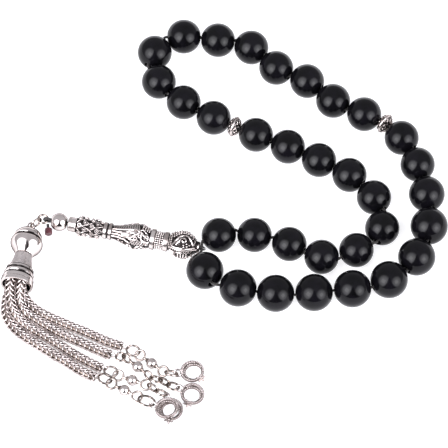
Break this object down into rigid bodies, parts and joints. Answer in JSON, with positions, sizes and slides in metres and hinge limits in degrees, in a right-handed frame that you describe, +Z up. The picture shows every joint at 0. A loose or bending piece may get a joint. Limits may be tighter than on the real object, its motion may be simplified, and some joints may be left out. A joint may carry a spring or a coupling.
{
  "type": "prayer beads",
  "caption": "Loop of round polished black prayer beads with silver divider discs, a carved silver head bead and a chain tassel ending in crescent and star charms.",
  "frame": {"origin": "middle of the string's lay, on the table: bottom centre of the box round the beads, head bead and cap", "axes": "+Z up from the table; +X from the tassel cap towards the far end of the lay; +Y away from the tassel's loose end"},
  "size_m": [0.1285, 0.1321, 0.0108],
  "materials": {
    "onyx": "polished near-black stone",
    "antique_silver": "cast silver with darkened recesses",
    "polished_silver": "polished silver plate",
    "black_cord": "waxed twisted cord",
    "sealed_cord_end": "dark red sealed cord end",
    "ring_wire": "bright round wire",
    "pin_steel": "plain drawn wire",
    "knitted_chain": "knitted wire chain with dark gaps",
    "beaded_silver": "cast silver with beaded faces"
  },
  "bodies": {
    "string": {"stringing_cord": "black_cord", "cord_tail": "sealed_cord_end", "imame": "antique_silver"},
    "bead_01_body": {"bead_01": "onyx"},
    "bead_02_body": {"bead_02": "onyx"},
    "bead_03_body": {"bead_03": "onyx"},
    "bead_04_body": {"bead_04": "onyx"},
    "bead_05_body": {"bead_05": "onyx"},
    "bead_06_body": {"bead_06": "onyx"},
    "bead_07_body": {"bead_07": "onyx"},
    "bead_08_body": {"bead_08": "onyx"},
    "bead_09_body": {"bead_09": "onyx"},
    "bead_10_body": {"bead_10": "onyx"},
    "bead_11_body": {"bead_11": "onyx"},
    "bead_12_body": {"bead_12": "onyx"},
    "bead_13_body": {"bead_13": "onyx"},
    "bead_14_body": {"bead_14": "onyx"},
    "bead_15_body": {"bead_15": "onyx"},
    "bead_16_body": {"bead_16": "onyx"},
    "bead_17_body": {"bead_17": "onyx"},
    "bead_18_body": {"bead_18": "onyx"},
    "bead_19_body": {"bead_19": "onyx"},
    "bead_20_body": {"bead_20": "onyx"},
    "bead_21_body": {"bead_21": "onyx"},
    "bead_22_body": {"bead_22": "onyx"},
    "bead_23_body": {"bead_23": "onyx"},
    "bead_24_body": {"bead_24": "onyx"},
    "bead_25_body": {"bead_25": "onyx"},
    "bead_26_body": {"bead_26": "onyx"},
    "bead_27_body": {"bead_27": "onyx"},
    "bead_28_body": {"bead_28": "onyx"},
    "bead_29_body": {"bead_29": "onyx"},
    "bead_30_body": {"bead_30": "onyx"},
    "bead_31_body": {"bead_31": "onyx"},
    "bead_32_body": {"bead_32": "onyx"},
    "bead_33_body": {"bead_33": "onyx"},
    "divider_1_body": {"divider_1": "antique_silver"},
    "divider_2_body": {"divider_2": "antique_silver"},
    "ball_body": {"ball_bead": "polished_silver"},
    "link_ring_body": {"link_ring": "ring_wire"},
    "upright_ring_body": {"upright_ring": "ring_wire"},
    "tassel": {"tassel_cap": "polished_silver", "cap_pin": "pin_steel", "chain_1": "knitted_chain", "chain_2": "knitted_chain", "chain_3": "knitted_chain", "chain_4": "knitted_chain", "end_rings": "ring_wire", "ball_link_1": "polished_silver", "ball_link_2": "polished_silver", "ball_link_3": "polished_silver", "ball_link_4": "polished_silver", "charm_rings_1": "ring_wire", "charm_rings_2": "ring_wire", "charm_rings_3": "ring_wire", "charm_rings_4": "ring_wire"},
    "charm_1_body": {"charm_1": "beaded_silver"},
    "charm_2_body": {"charm_2": "beaded_silver"},
    "charm_3_body": {"charm_3": "beaded_silver"},
    "charm_4_body": {"charm_4": "beaded_silver"}
  },
  "joints": [
    {"name": "link_ring_swing", "type": "hinge", "parent": "string", "child": "link_ring_body", "pos_m": [-0.05074, -0.01802, 0.00415], "axis": [0, 0, 1], "range_deg": [-10, 5]},
    {"name": "tassel_lift", "type": "hinge", "parent": "link_ring_body", "child": "upright_ring_body", "pos_m": [-0.05324, -0.01856, 0.00415], "axis": [-0.5927, 0.8054, 0], "range_deg": [0, 30]},
    {"name": "tassel_swing", "type": "hinge", "parent": "upright_ring_body", "child": "tassel", "pos_m": [-0.05552, -0.02024, 0.00475], "axis": [0, 0, 1], "range_deg": [-15, 5]},
    {"name": "charm_1_flip", "type": "hinge", "parent": "tassel", "child": "charm_1_body", "pos_m": [-0.01312, -0.06689, 0.00172], "axis": [0.1045, -0.9945, 0], "range_deg": [0, 40]},
    {"name": "charm_2_flip", "type": "hinge", "parent": "tassel", "child": "charm_2_body", "pos_m": [-0.01277, -0.07189, 0.00148], "axis": [-0.3746, -0.9272, 0], "range_deg": [0, 30]},
    {"name": "charm_3_slide_round", "type": "hinge", "parent": "tassel", "child": "charm_3_body", "pos_m": [-0.01635, -0.07437, 0.00138], "axis": [0, 0, 1], "range_deg": [0, 6]},
    {"name": "charm_4_flip", "type": "hinge", "parent": "tassel", "child": "charm_4_body", "pos_m": [-0.02014, -0.07762, 0.00206], "axis": [-0.2756, -0.9613, 0], "range_deg": [0, 45]},
    {"name": "divider_1_turn", "type": "hinge", "parent": "string", "child": "divider_1_body", "pos_m": [0.00305, 0.01271, 0.005], "axis": [-0.9051, 0.4251, 0], "continuous": true},
    {"name": "divider_2_turn", "type": "hinge", "parent": "string", "child": "divider_2_body", "pos_m": [0.04668, 0.01379, 0.00501], "axis": [0.7616, -0.648, 0.0016], "continuous": true},
    {"name": "ball_turn", "type": "hinge", "parent": "string", "child": "ball_body", "pos_m": [-0.04742, -0.01873, 0.00415], "axis": [0.9781, -0.2079, 0], "continuous": true},
    {"name": "bead_01_turn", "type": "hinge", "parent": "string", "child": "bead_01_body", "pos_m": [-0.0015, -0.0235, 0.005], "axis": [0.9281, 0.3692, 0.0487], "continuous": true},
    {"name": "bead_02_turn", "type": "hinge", "parent": "string", "child": "bead_02_body", "pos_m": [0.00875, -0.0235, 0.005], "axis": [0.9787, -0.2037, -0.0252], "continuous": true},
    {"name": "bead_03_turn", "type": "hinge", "parent": "string", "child": "bead_03_body", "pos_m": [0.01875, -0.0265, 0.005], "axis": [0.8672, -0.4977, 0.0126], "continuous": true},
    {"name": "bead_04_turn", "type": "hinge", "parent": "string", "child": "bead_04_body", "pos_m": [0.028, -0.03075, 0.005], "axis": [0.9861, -0.166, -0.0056], "continuous": true},
    {"name": "bead_05_turn", "type": "hinge", "parent": "string", "child": "bead_05_body", "pos_m": [0.038, -0.0285, 0.005], "axis": [0.893, 0.4501, 0.0018], "continuous": true},
    {"name": "bead_06_turn", "type": "hinge", "parent": "string", "child": "bead_06_body", "pos_m": [0.0455, -0.02125, 0.005], "axis": [0.3051, 0.9523, -0.0005], "continuous": true},
    {"name": "bead_07_turn", "type": "hinge", "parent": "string", "child": "bead_07_body", "pos_m": [0.04325, -0.011, 0.005], "axis": [-0.5548, 0.832, 0.0001], "continuous": true},
    {"name": "bead_08_turn", "type": "hinge", "parent": "string", "child": "bead_08_body", "pos_m": [0.03625, -0.0035, 0.005], "axis": [-0.8103, 0.5861, 0], "continuous": true},
    {"name": "bead_09_turn", "type": "hinge", "parent": "string", "child": "bead_09_body", "pos_m": [0.0275, 0.0015, 0.005], "axis": [-0.8997, 0.4364, 0], "continuous": true},
    {"name": "bead_10_turn", "type": "hinge", "parent": "string", "child": "bead_10_body", "pos_m": [0.0185, 0.006, 0.005], "axis": [-0.9036, 0.4284, 0], "continuous": true},
    {"name": "bead_11_turn", "type": "hinge", "parent": "string", "child": "bead_11_body", "pos_m": [0.00925, 0.01, 0.005], "axis": [-0.9201, 0.3916, 0], "continuous": true},
    {"name": "bead_12_turn", "type": "hinge", "parent": "string", "child": "bead_12_body", "pos_m": [-0.003, 0.01575, 0.005], "axis": [-0.8892, 0.4575, 0], "continuous": true},
    {"name": "bead_13_turn", "type": "hinge", "parent": "string", "child": "bead_13_body", "pos_m": [-0.01175, 0.021, 0.005], "axis": [-0.8357, 0.5492, 0], "continuous": true},
    {"name": "bead_14_turn", "type": "hinge", "parent": "string", "child": "bead_14_body", "pos_m": [-0.019, 0.028, 0.005], "axis": [-0.549, 0.8358, 0], "continuous": true},
    {"name": "bead_15_turn", "type": "hinge", "parent": "string", "child": "bead_15_body", "pos_m": [-0.02025, 0.038, 0.005], "axis": [0.4067, 0.9136, 0], "continuous": true},
    {"name": "bead_16_turn", "type": "hinge", "parent": "string", "child": "bead_16_body", "pos_m": [-0.01175, 0.0435, 0.005], "axis": [0.9999, 0.0123, 0], "continuous": true},
    {"name": "bead_17_turn", "type": "hinge", "parent": "string", "child": "bead_17_body", "pos_m": [-0.00175, 0.04225, 0.005], "axis": [0.9966, -0.0819, 0], "continuous": true},
    {"name": "bead_18_turn", "type": "hinge", "parent": "string", "child": "bead_18_body", "pos_m": [0.008, 0.03975, 0.005], "axis": [0.8017, -0.5978, 0.0001], "continuous": true},
    {"name": "bead_19_turn", "type": "hinge", "parent": "string", "child": "bead_19_body", "pos_m": [0.01525, 0.03275, 0.005], "axis": [0.7935, -0.6086, -0.0002], "continuous": true},
    {"name": "bead_20_turn", "type": "hinge", "parent": "string", "child": "bead_20_body", "pos_m": [0.02425, 0.02825, 0.005], "axis": [0.8709, -0.4914, 0.0004], "continuous": true},
    {"name": "bead_21_turn", "type": "hinge", "parent": "string", "child": "bead_21_body", "pos_m": [0.03175, 0.0215, 0.005], "axis": [0.7505, -0.6608, -0.0008], "continuous": true},
    {"name": "bead_22_turn", "type": "hinge", "parent": "string", "child": "bead_22_body", "pos_m": [0.04075, 0.017, 0.005], "axis": [0.9128, -0.4085, 0.0012], "continuous": true},
    {"name": "bead_23_turn", "type": "hinge", "parent": "string", "child": "bead_23_body", "pos_m": [0.0515, 0.009, 0.005], "axis": [0.6888, -0.7249, -0.0024], "continuous": true},
    {"name": "bead_24_turn", "type": "hinge", "parent": "string", "child": "bead_24_body", "pos_m": [0.056, 0, 0.005], "axis": [0.2218, -0.9751, 0.0048], "continuous": true},
    {"name": "bead_25_turn", "type": "hinge", "parent": "string", "child": "bead_25_body", "pos_m": [0.0585, -0.01, 0.0052], "axis": [0.238, -0.9707, 0.0317], "continuous": true},
    {"name": "bead_26_turn", "type": "hinge", "parent": "string", "child": "bead_26_body", "pos_m": [0.059, -0.02075, 0.0054], "axis": [-0.1362, -0.9907, 0.0052], "continuous": true},
    {"name": "bead_27_turn", "type": "hinge", "parent": "string", "child": "bead_27_body", "pos_m": [0.05525, -0.031, 0.0054], "axis": [-0.5346, -0.8451, -0.0042], "continuous": true},
    {"name": "bead_28_turn", "type": "hinge", "parent": "string", "child": "bead_28_body", "pos_m": [0.04725, -0.0385, 0.0054], "axis": [-0.8843, -0.4668, 0.0047], "continuous": true},
    {"name": "bead_29_turn", "type": "hinge", "parent": "string", "child": "bead_29_body", "pos_m": [0.03675, -0.0415, 0.0054], "axis": [-0.9956, -0.0928, -0.0088], "continuous": true},
    {"name": "bead_30_turn", "type": "hinge", "parent": "string", "child": "bead_30_body", "pos_m": [0.02575, -0.04275, 0.0054], "axis": [-0.9905, -0.136, 0.0198], "continuous": true},
    {"name": "bead_31_turn", "type": "hinge", "parent": "string", "child": "bead_31_body", "pos_m": [0.01475, -0.043, 0.0054], "axis": [-0.9921, 0.1179, -0.0418], "continuous": true},
    {"name": "bead_32_turn", "type": "hinge", "parent": "string", "child": "bead_32_body", "pos_m": [0.004, -0.04125, 0.0054], "axis": [-0.985, 0.1541, 0.0771], "continuous": true},
    {"name": "bead_33_turn", "type": "hinge", "parent": "string", "child": "bead_33_body", "pos_m": [-0.0055, -0.0355, 0.0054], "axis": [-0.3842, 0.9104, -0.1531], "continuous": true}
  ]
}
